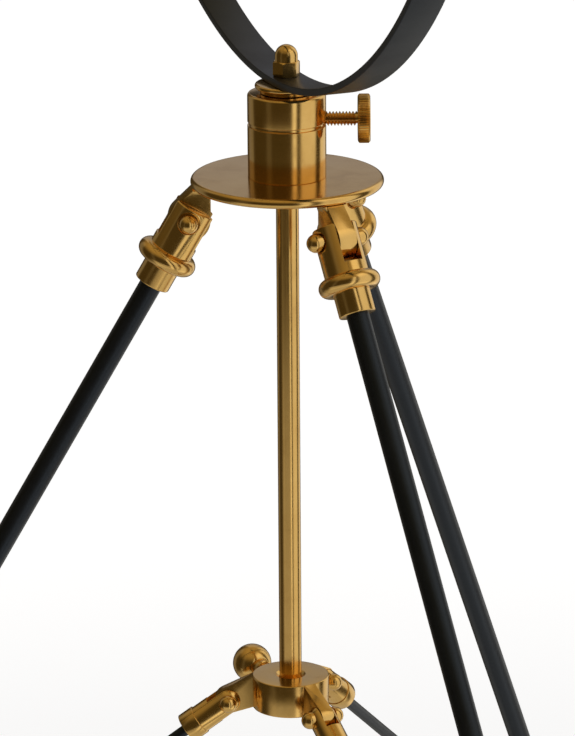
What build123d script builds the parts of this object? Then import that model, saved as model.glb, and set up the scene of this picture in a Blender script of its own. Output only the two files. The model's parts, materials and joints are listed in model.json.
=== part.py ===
"""Armillary astrolabe on a folding brass and black tripod, built piece by piece.

Millimetres, +Z up. The floor is z = 0, and the origin is under the middle of the whole object.
The upright axis of the stand is at x = axis_x, because one foot points to -X and two to +X.
"""

from build123d import *
from math import acos, atan2, cos, degrees, hypot, radians, sin, sqrt, tan
import os

os.makedirs("parts", exist_ok=True)

# ---------------------------------------------------------------- driving dimensions
running_gap = 0.05  # radial clearance of a shaft that turns or slides
seat_gap = 0.02  # radial clearance of a shaft that is fixed in its socket
side_gap = 0.3  # air between two flat or curved faces of different moving pieces

# tripod legs
leg_azimuths = {"left": 180, "front": 300, "back": 60}
leg_tilt = 29.7  # from the vertical, when spread
fold_angle = 29.0  # from spread to folded
pivot_height = 565.0
pivot_radius = 40.7  # from the upright axis to each leg pin
leg_rod_radius = 4.75
foot_radius_of_rubber = 8.2

# top plate, collar and ring seat
pivot_drop = 14.0  # from the plate's underside to the leg pins
plate_radius = 40.0
plate_thickness = 4.0
collar_radius = 16.25
collar_height = 35.4
collar_floor = 7.0  # solid metal at the bottom of the collar
groove_height = 22.5
groove_width = 1.5
groove_depth = 0.8
screw_height = 24.1  # thumbscrew axis above the plate
spigot_radius = 8.0
flange_radius = 13.1
flange_top = 39.4  # above the plate
flange_thickness = 2.2

# rings
ring_radius = 200.0  # outside of the big meridian ring
ring_thickness = 3.0
ring_width = 15.0
ring_turn = 68.5  # how far the ring's plane is turned from the X axis
polar_tilt = 45.0  # polar axis from the vertical, in the plane of the big ring
inner_ring_radius = 139.0
inner_ring_width = 10.0
inner_ring_step = 0.25  # air between the nested inner rings
ecliptic_tilt = 23.5
axis_rod_radius = 3.0

# upper leg fittings
lug_radius = 9.0
lug_thickness = 7.8
lug_spigot_radius = 3.0
lug_spigot_length = 2.4
clevis_radius = 9.3
clevis_top = -5.6  # along the leg, from the pin
slot_bottom = 11.0
bead_place = 18.8
bead_centre_radius = 9.15
bead_round = 3.75
edge_break = 0.5
ferrule_radius = 7.65
ferrule_end = 32.0
leg_pin_radius = 2.5
leg_pin_head = 4.4

# runner hub, braces and rods
rod_radius = 4.75
hub_drop = 219.0  # from the plate's top to the hub's top
hub_radius = 16.3
hub_height = 14.2
hub_pivot_radius = 26.6
hub_pivot_drop = 11.4  # from the hub's top to the brace pins
hub_tongue = 5.6
hub_knuckle = 5.6
knob_azimuth = 120
knob_drop = 5.5
knob_place = 33.0  # middle of the ball knob, from the upright axis
knob_radius = 8.3
brace_slope = 1.36  # outward run for each unit of drop, when spread
brace_rod_radius = 2.4
brace_clevis_radius = 6.0
brace_pin_radius = 1.6
brace_pin_head = 3.7
brace_offset = 12.4  # middle of the brace's eye, to the side of the leg
boss_end = 7.8  # side face of the boss on the leg

# ---------------------------------------------------------------- places worked out
leg_length = pivot_height / cos(radians(leg_tilt))  # from the pin to the floor
foot_place = pivot_radius + pivot_height * tan(radians(leg_tilt))
plate_bottom = pivot_height + pivot_drop
plate_top = plate_bottom + plate_thickness
sole_length = foot_radius_of_rubber / cos(radians(leg_tilt))  # half of the oval sole
sole_reach = hypot(sole_length * cos(radians(60)), foot_radius_of_rubber * sin(radians(60)))
axis_x = (foot_place + sole_length - foot_place * cos(radians(60)) - sole_reach) / 2
ring_centre = Vector(axis_x, 0, plate_top + flange_top + seat_gap + ring_radius)
ring_axis = Vector(sin(radians(ring_turn)), cos(radians(ring_turn)), 0)
ring_side = Vector(cos(radians(ring_turn)), -sin(radians(ring_turn)), 0)
polar_axis = ring_side * sin(radians(polar_tilt)) + Vector(0, 0, cos(radians(polar_tilt)))
equator_line = polar_axis.cross(ring_axis)

hub_top = plate_top - hub_drop
hub_pivot_height = hub_top - hub_pivot_drop
brace_drop = (
    pivot_radius - hub_pivot_radius + (pivot_height - hub_pivot_height) * tan(radians(leg_tilt))
) / (brace_slope - tan(radians(leg_tilt)))
brace_length = brace_drop * hypot(1, brace_slope)
brace_angle = degrees(atan2(brace_slope, 1))  # from the vertical, when spread
collar_place = (pivot_height - hub_pivot_height + brace_drop) / cos(radians(leg_tilt))

folded_tilt = radians(leg_tilt - fold_angle)
folded_collar_radius = pivot_radius + collar_place * sin(folded_tilt)
folded_run = folded_collar_radius - hub_pivot_radius
folded_hub_height = (
    pivot_height - collar_place * cos(folded_tilt) + sqrt(brace_length**2 - folded_run**2)
)
hub_travel = folded_hub_height - hub_pivot_height
brace_turn = brace_angle - degrees(atan2(folded_run, sqrt(brace_length**2 - folded_run**2)))


# ---------------------------------------------------------------- helpers
def outward(azimuth):
    """Level unit vector that points away from the upright axis."""
    return Vector(cos(radians(azimuth)), sin(radians(azimuth)), 0)


def sideways(azimuth):
    """Level unit vector square to outward, along a hinge pin."""
    return Vector(-sin(radians(azimuth)), cos(radians(azimuth)), 0)


def station(height):
    """Level plane on the upright axis."""
    return Plane(origin=(axis_x, 0, height))


def radial_plane(azimuth):
    """Upright plane whose x is the distance from the upright axis and whose y is the height."""
    return Plane(origin=(axis_x, 0, 0), x_dir=outward(azimuth), z_dir=sideways(azimuth) * -1)


def limb_plane(azimuth, radius, height, tilt):
    """Plane at a hinge pin: x along the pin, z down along a limb that leans out by tilt."""
    side = sideways(azimuth)
    down = outward(azimuth) * sin(radians(tilt)) - Vector(0, 0, cos(radians(tilt)))
    place = Vector(axis_x, 0, height) + outward(azimuth) * radius
    return Plane(origin=place, x_dir=side, z_dir=down)


def along(direction, place, x_dir=None):
    """Plane square to a direction."""
    return Plane(origin=place, x_dir=x_dir, z_dir=direction)


def turn(base, outline, mode=Mode.ADD):
    """Turned shape: a closed outline of (radius, height) points spun about the base plane's z."""
    side = Plane(origin=base.origin, x_dir=base.x_dir, z_dir=base.y_dir * -1)
    with BuildSketch(side) as half:
        with BuildLine():
            Polyline(*outline, close=True)
        make_face()
    revolve(half.sketch, axis=Axis(base.origin, base.z_dir), mode=mode)


def bar(base, radius, low, high, mode=Mode.ADD):
    """Round bar along the base plane's z, from low to high."""
    with BuildSketch(base.offset(low)) as disc:
        Circle(radius)
    extrude(disc.sketch, amount=high - low, mode=mode)


def dome(base, radius, height):
    """Half ball that stands on the base plane's z at a height."""
    side = Plane(origin=base.origin, x_dir=base.x_dir, z_dir=base.y_dir * -1)
    with BuildSketch(side) as quarter:
        with BuildLine():
            RadiusArc((radius, height), (0, height + radius), -radius)
            Polyline((0, height + radius), (0, height), (radius, height))
        make_face()
    revolve(quarter.sketch, axis=Axis(base.origin, base.z_dir))


def ball(base, radius, height):
    """Ball on the base plane's z."""
    with Locations(base.offset(height)):
        Sphere(radius)


def pin_plane(base):
    """Plane whose z runs along a hinge pin of a limb."""
    return Plane(origin=base.origin, x_dir=base.y_dir, z_dir=base.x_dir)


def domed_pin(base, shaft, head, seat, cheek):
    """Hinge pin with a domed head at each end: heads sit on faces at plus and minus seat."""
    bar(base, shaft, -seat, seat)
    for end in (base, Plane(origin=base.origin, x_dir=base.x_dir, z_dir=base.z_dir * -1)):
        bar(end, head, seat, seat + cheek)
        dome(end, head, seat + cheek)


def round_edges(part, low, high):
    """Circular edges with a radius between two values."""
    circles = part.edges().filter_by(GeomType.CIRCLE)
    return circles.filter_by(lambda edge: low < edge.radius < high)


def bead_height(radius):
    """Half height of the bead on a leg clevis at a radius."""
    return sqrt(bead_round**2 - (radius - bead_centre_radius) ** 2)


def under_plate(azimuth, radius):
    """Level plane on the underside of the top plate, at a distance from the upright axis."""
    return along(Vector(0, 0, 1), Vector(axis_x, 0, plate_bottom) + outward(azimuth) * radius)


def save(piece, name):
    """Label a finished piece and write it to its own file."""
    piece.part.label = name
    export_step(piece.part, f"parts/{name}.step")


# ---------------------------------------------------------------- head of the stand
lug_spigot_place = 35.0
rod_thread_radius = 4.0
rod_thread_top = collar_floor - 0.5

with BuildPart() as top_plate:
    bar(station(plate_bottom), plate_radius, 0, plate_thickness)
    fillet(round_edges(top_plate, plate_radius - 1, plate_radius + 1), plate_thickness / 2 - 0.1)
    bar(station(plate_bottom), rod_thread_radius + seat_gap, 0, plate_thickness, Mode.SUBTRACT)
    for azimuth in leg_azimuths.values():
        socket = under_plate(azimuth, lug_spigot_place)
        bar(socket, lug_spigot_radius + seat_gap, 0, lug_spigot_length + 0.2, Mode.SUBTRACT)
save(top_plate, "top_plate")

screw_axis = along(Vector(1, 0, 0), (axis_x, 0, plate_top + screw_height))
screw_radius = 3.0
with BuildPart() as collar:
    bar(station(plate_top), collar_radius, 0, collar_height)
    fillet(collar.edges().group_by(Axis.Z)[-1], 1.4)
    bar(station(plate_top), spigot_radius + running_gap, collar_floor, collar_height, Mode.SUBTRACT)
    bar(station(plate_top), rod_thread_radius + seat_gap, 0, collar_floor, Mode.SUBTRACT)
    turn(
        station(plate_top + groove_height),
        [
            (collar_radius - groove_depth, -groove_width / 2),
            (collar_radius + 1, -groove_width / 2),
            (collar_radius + 1, groove_width / 2),
            (collar_radius - groove_depth, groove_width / 2),
        ],
        Mode.SUBTRACT,
    )
    bar(screw_axis, screw_radius + running_gap, 0, collar_radius + 1, Mode.SUBTRACT)
save(collar, "collar")

rod_end = hub_top - hub_height - side_gap
stop_head_radius = 6.5
stop_head_height = 3.0
stop_thread_radius = 2.5
stop_thread_length = 14.0
with BuildPart() as centre_rod:
    bar(station(0), rod_radius, rod_end, plate_bottom)
    bar(station(0), rod_thread_radius, plate_bottom, plate_top + rod_thread_top)
    bar(station(rod_end), stop_thread_radius + seat_gap, 0, stop_thread_length + 1, Mode.SUBTRACT)
save(centre_rod, "centre_rod")

with BuildPart() as rod_stop_screw:
    bar(station(rod_end), stop_thread_radius, 0, stop_thread_length)
    bar(station(rod_end), stop_head_radius, -stop_head_height, 0)
    fillet(rod_stop_screw.edges().group_by(Axis.Z)[0], 2.0)
    with BuildSketch(station(rod_end - stop_head_height)):
        RegularPolygon(radius=2.0, side_count=6)
    extrude(amount=1.6, mode=Mode.SUBTRACT)
save(rod_stop_screw, "rod_stop_screw")

# ---------------------------------------------------------------- lugs under the plate
lug_edge = 39.2  # the lug's outer edge at the plate
foot_flare = 1.7  # how far the lug's foot stands out on each side
foot_height = 2.4
edge_reach = hypot(lug_edge - pivot_radius, pivot_drop)
touch_angle = atan2(pivot_drop, lug_edge - pivot_radius) - acos(lug_radius / edge_reach)
for name, azimuth in leg_azimuths.items():
    side_view = radial_plane(azimuth)
    inner_edge = pivot_radius - lug_radius
    pin = pin_plane(limb_plane(azimuth, pivot_radius, pivot_height, leg_tilt))
    foot_middle = Vector(axis_x, 0, plate_bottom) + outward(azimuth) * (inner_edge + lug_edge) / 2
    foot = Plane(origin=foot_middle, x_dir=outward(azimuth), z_dir=(0, 0, -1))
    with BuildPart() as lug:
        with BuildSketch(side_view):
            with BuildLine():
                touch = (
                    pivot_radius + lug_radius * cos(touch_angle),
                    pivot_height + lug_radius * sin(touch_angle),
                )
                Line((inner_edge, plate_bottom), (inner_edge, pivot_height))
                ThreePointArc((inner_edge, pivot_height), (pivot_radius, pivot_height - lug_radius), touch)
                Polyline(touch, (lug_edge, plate_bottom), (inner_edge, plate_bottom))
            make_face()
        extrude(amount=lug_thickness / 2, both=True)
        with BuildSketch(foot):
            Rectangle(lug_edge - inner_edge, lug_thickness + 2 * foot_flare)
        with BuildSketch(foot.offset(foot_height)):
            Rectangle(lug_edge - inner_edge - 0.5, lug_thickness)
        loft()
        bar(under_plate(azimuth, lug_spigot_place), lug_spigot_radius, 0, lug_spigot_length)
        bar(pin, leg_pin_radius + running_gap, -lug_thickness, lug_thickness, Mode.SUBTRACT)
    save(lug, f"leg_lug_{name}")

# ---------------------------------------------------------------- thumbscrew in the collar
screw_tip = spigot_radius + side_gap
screw_tip_radius = 2.3
screw_tip_length = 2.0
head_start = 29.2
head_thickness = 5.2
head_radius = 10.2
with BuildPart() as collar_thumbscrew:
    bar(screw_axis, screw_tip_radius, screw_tip, screw_tip + screw_tip_length)
    bar(screw_axis, screw_radius, screw_tip + screw_tip_length, head_start)
    turn(
        screw_axis,
        [
            (0, head_start),
            (head_radius - 0.6, head_start),
            (head_radius, head_start + 0.6),
            (head_radius, head_start + head_thickness - 0.6),
            (head_radius - 0.6, head_start + head_thickness),
            (0, head_start + head_thickness),
        ],
    )
save(collar_thumbscrew, "collar_thumbscrew")

# ---------------------------------------------------------------- spigot, ring seat, big ring and its nut
spigot_bottom = collar_floor + 1.0
spigot_relief = 0.8  # depth of the groove that the thumbscrew's tip reaches for
seat_bottom = collar_height + side_gap
seat_neck_radius = 11.0
stud_radius = 3.0
stud_depth = 13.0
with BuildPart() as ring_spigot:
    bar(station(plate_top), spigot_radius, spigot_bottom, seat_bottom)
    turn(
        station(plate_top + screw_height),
        [
            (spigot_radius - spigot_relief, -screw_radius),
            (spigot_radius + 1, -screw_radius - 1),
            (spigot_radius + 1, screw_radius + 1),
            (spigot_radius - spigot_relief, screw_radius),
        ],
        Mode.SUBTRACT,
    )
    bar(station(plate_top), stud_radius + seat_gap, flange_top - stud_depth, seat_bottom, Mode.SUBTRACT)
save(ring_spigot, "ring_spigot")

with BuildPart() as ring_seat:
    bar(station(plate_top), flange_radius, flange_top - flange_thickness, flange_top)
    fillet(round_edges(ring_seat, flange_radius - 1, flange_radius + 1), 0.9)
    bar(station(plate_top), seat_neck_radius, seat_bottom, flange_top - flange_thickness)
    bar(station(plate_top), stud_radius + seat_gap, seat_bottom, flange_top, Mode.SUBTRACT)
save(ring_seat, "ring_seat")

nut_seat = flange_top + ring_thickness + 0.15  # the nut stands on the ring's inner face
nut_flats = 10.0
nut_hexagon = 6.2
nut_dome = 4.75
nut_height = 13.0
stud_top = nut_seat + 8.5
with BuildPart() as ring_stud:
    bar(station(plate_top), stud_radius, flange_top - stud_depth + 0.3, stud_top)
save(ring_stud, "ring_stud")

with BuildPart() as cap_nut:
    with BuildSketch(station(plate_top + nut_seat)):
        RegularPolygon(radius=nut_flats / 2, side_count=6, major_radius=False, rotation=15)
    extrude(amount=nut_hexagon)
    bar(station(plate_top + nut_seat), nut_dome, nut_hexagon, nut_height - nut_dome)
    dome(station(plate_top + nut_seat), nut_dome, nut_height - nut_dome)
    bar(station(plate_top), stud_radius + seat_gap, nut_seat, stud_top + 0.3, Mode.SUBTRACT)
save(cap_nut, "cap_nut")

ring_plane = along(ring_axis, ring_centre, ring_side)
polar_plane = along(polar_axis, ring_centre, ring_axis)
bush_radius = 5.0
with BuildPart() as meridian_ring:
    bar(ring_plane, ring_radius, -ring_width / 2, ring_width / 2)
    bar(ring_plane, ring_radius - ring_thickness, -ring_width / 2, ring_width / 2, Mode.SUBTRACT)
    fillet(round_edges(meridian_ring, ring_radius - ring_thickness - 1, ring_radius + 1), 0.4)
    bar(station(plate_top), stud_radius + 0.2, flange_top - 1, nut_seat + 1, Mode.SUBTRACT)
    bar(polar_plane, bush_radius + seat_gap, -ring_radius - 5, ring_radius + 5, Mode.SUBTRACT)
save(meridian_ring, "meridian_ring")

# Two flanged bushes line the ring where the polar axis goes through.
bush_flange = 7.5
bush_inner = ring_radius - ring_thickness - 2.2
bush_outer = ring_radius + 2.0
with BuildPart() as axis_bushes:
    for direction in (polar_axis, polar_axis * -1):
        bush = along(direction, ring_centre, ring_axis)
        bar(bush, bush_radius, bush_inner, bush_outer)
        bar(bush, bush_flange, bush_inner, ring_radius - ring_thickness - 0.6)
        bar(bush, axis_rod_radius + running_gap, bush_inner, bush_outer, Mode.SUBTRACT)
save(axis_bushes, "axis_bushes")

# ---------------------------------------------------------------- instrument inside the big ring
axis_rod_end = ring_radius + 8.0
with BuildPart() as axis_rod:
    bar(polar_plane, axis_rod_radius, -axis_rod_end, axis_rod_end)
save(axis_rod, "axis_rod")

arrow_start = bush_outer + 0.7
arrow_socket = arrow_start + 8.0
arrow_barb_radius = 10.0
arrow_tip = arrow_socket + 24.0
with BuildPart() as arrow_head:
    turn(
        polar_plane,
        [
            (0, arrow_start),
            (5.0, arrow_start),
            (4.2, arrow_socket),
            (arrow_barb_radius, arrow_socket - 1.5),
            (arrow_barb_radius, arrow_socket),
            (0.5, arrow_tip),
            (0, arrow_tip),
        ],
    )
    bar(polar_plane, axis_rod_radius + seat_gap, arrow_start, axis_rod_end + 0.2, Mode.SUBTRACT)
save(arrow_head, "arrow_head")

tail_plane = along(polar_axis * -1, ring_centre, ring_axis)
tail_end = arrow_start + 24.0
fin_reach = 11.0
fin_thickness = 1.8
fin_count = 4
with BuildPart() as arrow_tail:
    bar(tail_plane, 5.0, arrow_start, tail_end - 4)
    for turned in range(fin_count):
        fin_side = ring_axis.rotate(Axis((0, 0, 0), polar_axis), turned * 360 / fin_count)
        fin_plane = Plane(origin=ring_centre, x_dir=fin_side, z_dir=fin_side.cross(polar_axis * -1))
        with BuildSketch(fin_plane):
            with BuildLine():
                Polyline(
                    (0, arrow_start + 3),
                    (4, arrow_start + 3),
                    (fin_reach, arrow_start + 10),
                    (fin_reach, tail_end),
                    (4, tail_end - 6),
                    (0, tail_end - 6),
                    close=True,
                )
            make_face()
        extrude(amount=fin_thickness / 2, both=True)
    bar(tail_plane, axis_rod_radius + seat_gap, arrow_start, axis_rod_end + 0.2, Mode.SUBTRACT)
save(arrow_tail, "arrow_tail")

# Three nested rings: the colure holds the poles, and the equator and ecliptic sit inside it.
# All three cross on one line, where a rivet goes through them.
ecliptic_axis = polar_axis.rotate(Axis((0, 0, 0), equator_line), ecliptic_tilt)
ring_step = ring_thickness + inner_ring_step
inner_rings = {
    "colure_ring": (ring_axis, inner_ring_radius),
    "equator_ring": (polar_axis, inner_ring_radius - ring_step),
    "ecliptic_ring": (ecliptic_axis, inner_ring_radius - 2 * ring_step),
}
rivet_radius = 2.0
rivet_line = along(equator_line, ring_centre)
for name, (normal, radius) in inner_rings.items():
    base = along(normal, ring_centre, equator_line)
    with BuildPart() as inner_ring:
        bar(base, radius, -inner_ring_width / 2, inner_ring_width / 2)
        bar(base, radius - ring_thickness, -inner_ring_width / 2, inner_ring_width / 2, Mode.SUBTRACT)
        fillet(round_edges(inner_ring, radius - ring_thickness - 1, radius + 1), 0.4)
        bar(rivet_line, rivet_radius + seat_gap, -radius - 5, radius + 5, Mode.SUBTRACT)
        if name == "colure_ring":
            bar(polar_plane, axis_rod_radius + seat_gap, -radius - 5, radius + 5, Mode.SUBTRACT)
    save(inner_ring, name)

rivet_head = 3.4
rivet_inner = inner_ring_radius - 2 * ring_step - ring_thickness
with BuildPart() as ring_rivets:
    for direction in (equator_line, equator_line * -1):
        rivet = along(direction, ring_centre)
        bar(rivet, rivet_radius, rivet_inner - 1.2, inner_ring_radius + 1.2)
        bar(rivet, rivet_head, rivet_inner - 1.6, rivet_inner - 0.2)
        bar(rivet, rivet_head, inner_ring_radius + 0.1, inner_ring_radius + 1.5)
save(ring_rivets, "ring_rivets")

axis_collar_radius = 6.0
axis_collar_length = 5.0
with BuildPart() as axis_collars:
    for direction in (polar_axis, polar_axis * -1):
        pole = along(direction, ring_centre, ring_axis)
        for low in (inner_ring_radius - ring_thickness - axis_collar_length - 0.3, inner_ring_radius + 0.1):
            bar(pole, axis_collar_radius, low, low + axis_collar_length)
            bar(pole, axis_rod_radius + seat_gap, low, low + axis_collar_length, Mode.SUBTRACT)
save(axis_collars, "axis_collars")

globe_radius = 17.0
with BuildPart() as centre_globe:
    ball(polar_plane, globe_radius, 0)
    bar(polar_plane, axis_rod_radius + seat_gap, -globe_radius, globe_radius, Mode.SUBTRACT)
save(centre_globe, "centre_globe")

# ---------------------------------------------------------------- legs
slot_width = lug_thickness + 2 * side_gap
pin_seat = 8.15
rod_socket = 17.0
tip_radius = 6.4
tip_length = 20.0
rubber_height = 22.0  # length of leg that the rubber foot covers
rod_short = 9.0  # from the rod's end to the floor, along the leg
brace_collar_radius = 7.0
brace_collar_length = 14.0
boss_radius = 5.0
for name, azimuth in leg_azimuths.items():
    leg = limb_plane(azimuth, pivot_radius, pivot_height, leg_tilt)
    pin = pin_plane(leg)
    with BuildPart() as leg_clevis:
        with BuildSketch(Plane(origin=leg.origin, x_dir=leg.x_dir, z_dir=leg.y_dir * -1)):
            with BuildLine():
                bead_start = (clevis_radius, bead_place - bead_height(clevis_radius))
                bead_end = (ferrule_radius, bead_place + bead_height(ferrule_radius))
                Polyline(
                    (0, ferrule_end),
                    (0, clevis_top),
                    (clevis_radius - edge_break, clevis_top),
                    (clevis_radius, clevis_top + edge_break),
                    bead_start,
                )
                ThreePointArc(bead_start, (bead_centre_radius + bead_round, bead_place), bead_end)
                Polyline(
                    bead_end,
                    (ferrule_radius, ferrule_end - edge_break),
                    (ferrule_radius - edge_break, ferrule_end),
                    (0, ferrule_end),
                )
            make_face()
        revolve(axis=Axis(leg.origin, leg.z_dir))
        with BuildSketch(leg.offset(clevis_top - 1)):
            Rectangle(slot_width, 3 * clevis_radius)
        extrude(amount=slot_bottom - clevis_top + 1, mode=Mode.SUBTRACT)
        bar(pin, leg_pin_radius + seat_gap, -2 * clevis_radius, 2 * clevis_radius, Mode.SUBTRACT)
        bar(pin, leg_pin_head + 0.3, pin_seat, 2 * clevis_radius, Mode.SUBTRACT)
        bar(pin, leg_pin_head + 0.3, -2 * clevis_radius, -pin_seat, Mode.SUBTRACT)
        bar(leg, leg_rod_radius + seat_gap, rod_socket, ferrule_end, Mode.SUBTRACT)
    save(leg_clevis, f"leg_clevis_{name}")

    with BuildPart() as leg_pin:
        domed_pin(pin, leg_pin_radius, leg_pin_head, pin_seat, 1.6)
    save(leg_pin, f"leg_pin_{name}")

    with BuildPart() as leg_rod:
        bar(leg, leg_rod_radius, rod_socket + 0.2, leg_length - rod_short)
    save(leg_rod, f"leg_rod_{name}")

    with BuildPart() as brace_collar:
        low = collar_place - brace_collar_length / 2
        bar(leg, brace_collar_radius, low, low + brace_collar_length)
        chamfer(round_edges(brace_collar, brace_collar_radius - 1, brace_collar_radius + 1), 0.8)
        boss = Plane(origin=leg.offset(collar_place).origin, x_dir=leg.y_dir, z_dir=leg.x_dir)
        bar(boss, boss_radius, 0, boss_end)
        bar(leg, leg_rod_radius + seat_gap, low, low + brace_collar_length, Mode.SUBTRACT)
    save(brace_collar, f"brace_collar_{name}")

    with BuildPart() as leg_tip:
        start = leg_length - rubber_height - tip_length
        turn(
            leg,
            [
                (0, start),
                (leg_rod_radius + 0.9, start),
                (tip_radius, start + 4),
                (tip_radius, start + tip_length - 0.2),
                (0, start + tip_length - 0.2),
            ],
        )
        bar(leg, leg_rod_radius + seat_gap, start - 1, start + tip_length, Mode.SUBTRACT)
    save(leg_tip, f"leg_tip_{name}")

    with BuildPart() as rubber_foot:
        start = leg_length - rubber_height
        bar(leg, foot_radius_of_rubber, start, leg_length + foot_radius_of_rubber)
        fillet(rubber_foot.edges().sort_by(Axis.Z)[-1], 2.0)
        bar(leg, leg_rod_radius + seat_gap, start, leg_length - rod_short + 0.3, Mode.SUBTRACT)
        split(bisect_by=Plane.XY, keep=Keep.TOP)
    save(rubber_foot, f"rubber_foot_{name}")

# ---------------------------------------------------------------- runner hub and its ball knob
tongue_root = 12.0
tongue_shoulder = 15.8
pivot_reach = hypot(hub_pivot_radius - tongue_shoulder, hub_pivot_drop)
upper_angle = atan2(hub_pivot_drop, tongue_shoulder - hub_pivot_radius) - acos(hub_knuckle / pivot_reach)
hub_bottom = hub_top - hub_height
knob_plane = along(outward(knob_azimuth), (axis_x, 0, hub_top - knob_drop))
knob_screw_radius = 2.5
with BuildPart() as hub:
    bar(station(hub_bottom), hub_radius, 0, hub_height)
    fillet(round_edges(hub, hub_radius - 1, hub_radius + 1), 0.6)
    for azimuth in leg_azimuths.values():
        with BuildSketch(radial_plane(azimuth)):
            with BuildLine():
                upper = (
                    hub_pivot_radius + hub_knuckle * cos(upper_angle),
                    hub_pivot_height + hub_knuckle * sin(upper_angle),
                )
                lower = (hub_pivot_radius, hub_pivot_height - hub_knuckle)
                ThreePointArc(upper, (hub_pivot_radius + hub_knuckle, hub_pivot_height), lower)
                Polyline(
                    lower,
                    (tongue_shoulder, hub_bottom + 0.3),
                    (tongue_root, hub_bottom + 0.3),
                    (tongue_root, hub_top - 0.1),
                    (tongue_shoulder, hub_top - 0.1),
                    upper,
                )
            make_face()
        extrude(amount=hub_tongue / 2, both=True)
        pin = pin_plane(limb_plane(azimuth, hub_pivot_radius, hub_pivot_height, brace_angle))
        bar(pin, brace_pin_radius + running_gap, -hub_tongue, hub_tongue, Mode.SUBTRACT)
    bar(station(hub_bottom), rod_radius + running_gap, -1, hub_height + 1, Mode.SUBTRACT)
    turn(
        station(hub_top),
        [(0, -1.6), (rod_radius, -1.6), (rod_radius + 2.2, 0.6), (0, 0.6)],
        Mode.SUBTRACT,
    )
    bar(knob_plane, knob_screw_radius + running_gap, 0, hub_radius + 1, Mode.SUBTRACT)
save(hub, "hub")

with BuildPart() as hub_knob:
    bar(knob_plane, knob_screw_radius, rod_radius + side_gap, knob_place)
    bar(knob_plane, 4.0, hub_radius + 6.0, knob_place)
    ball(knob_plane, knob_radius, knob_place)
save(hub_knob, "hub_knob")

# ---------------------------------------------------------------- braces
brace_slot = hub_tongue + 2 * side_gap
brace_slot_bottom = 7.4
brace_barrel = 15.0
brace_ferrule_radius = 6.5
brace_ferrule_end = 22.0
brace_pin_seat = 5.2
brace_socket = 9.0
eye_radius = 5.5
eye_thickness = 4.8
eye_socket_radius = 3.4
eye_socket_length = 18.0
eye_pin_radius = 2.0
eye_pin_head = 3.6
spacer_radius = 4.0
for name, azimuth in leg_azimuths.items():
    brace = limb_plane(azimuth, hub_pivot_radius, hub_pivot_height, brace_angle)
    pin = pin_plane(brace)
    eye_place = brace.origin + brace.z_dir * brace_length + brace.x_dir * brace_offset
    lean = (eye_place - brace.origin).normalized()  # the rod leans to the side, to pass the leg
    rod_plane = Plane(origin=brace.origin, x_dir=brace.y_dir, z_dir=lean)
    rod_length = (eye_place - brace.origin).length
    eye_plane = Plane(origin=eye_place, x_dir=brace.y_dir, z_dir=brace.x_dir)
    leg_side = boss_end + side_gap - brace_offset  # inner end of the pin, from the eye's middle

    with BuildPart() as brace_clevis:
        bar(brace, brace_clevis_radius, 0, brace_barrel)
        ball(brace, brace_clevis_radius, 0)
        bar(brace, brace_ferrule_radius, brace_barrel, brace_ferrule_end)
        chamfer(round_edges(brace_clevis, 6.2, 7), 0.4)
        with BuildSketch(brace.offset(-brace_clevis_radius - 1)):
            Rectangle(brace_slot, 3 * brace_clevis_radius)
        extrude(amount=brace_slot_bottom + brace_clevis_radius + 1, mode=Mode.SUBTRACT)
        bar(pin, brace_pin_radius + seat_gap, -10, 10, Mode.SUBTRACT)
        bar(pin, brace_pin_head + 0.2, brace_pin_seat, 10, Mode.SUBTRACT)
        bar(pin, brace_pin_head + 0.2, -10, -brace_pin_seat, Mode.SUBTRACT)
        bar(rod_plane, brace_rod_radius + seat_gap, brace_socket, brace_ferrule_end + 2, Mode.SUBTRACT)
    save(brace_clevis, f"brace_clevis_{name}")

    with BuildPart() as brace_pin:
        domed_pin(pin, brace_pin_radius, brace_pin_head, brace_pin_seat, 0.8)
    save(brace_pin, f"brace_pin_{name}")

    with BuildPart() as brace_rod:
        bar(rod_plane, brace_rod_radius, brace_socket + 0.2, rod_length - 9)
    save(brace_rod, f"brace_rod_{name}")

    with BuildPart() as brace_eye:
        bar(eye_plane, eye_radius, -eye_thickness / 2, eye_thickness / 2)
        bar(rod_plane, eye_socket_radius, rod_length - eye_socket_length, rod_length - spacer_radius - 0.6)
        bar(eye_plane, eye_pin_radius + seat_gap, -eye_thickness, eye_thickness, Mode.SUBTRACT)
        bar(
            rod_plane,
            brace_rod_radius + seat_gap,
            rod_length - eye_socket_length - 1,
            rod_length - 8.7,
            Mode.SUBTRACT,
        )
    save(brace_eye, f"brace_eye_{name}")

    with BuildPart() as eye_pin:
        bar(eye_plane, eye_pin_radius, leg_side, eye_thickness / 2)
        bar(eye_plane, spacer_radius, leg_side, -eye_thickness / 2)
        bar(eye_plane, eye_pin_head, eye_thickness / 2, eye_thickness / 2 + 2.2)
        fillet(eye_pin.edges().filter_by(GeomType.CIRCLE).sort_by(Axis(eye_place, brace.x_dir))[-1], 1.8)
    save(eye_pin, f"eye_pin_{name}")
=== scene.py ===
"""Looks of the armillary astrolabe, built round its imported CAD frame.

The frame and the camera are in metres, +Z up. Sizes of pieces and of the stage are in millimetres,
each in the local frame of the joint, limb or axis that it belongs to, with z along its own axis.
"""

import json
from math import acos, atan2, cos, degrees, hypot, pi, radians, sin, sqrt, tan

import bmesh
import bpy
from mathutils import Matrix, Vector


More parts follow.
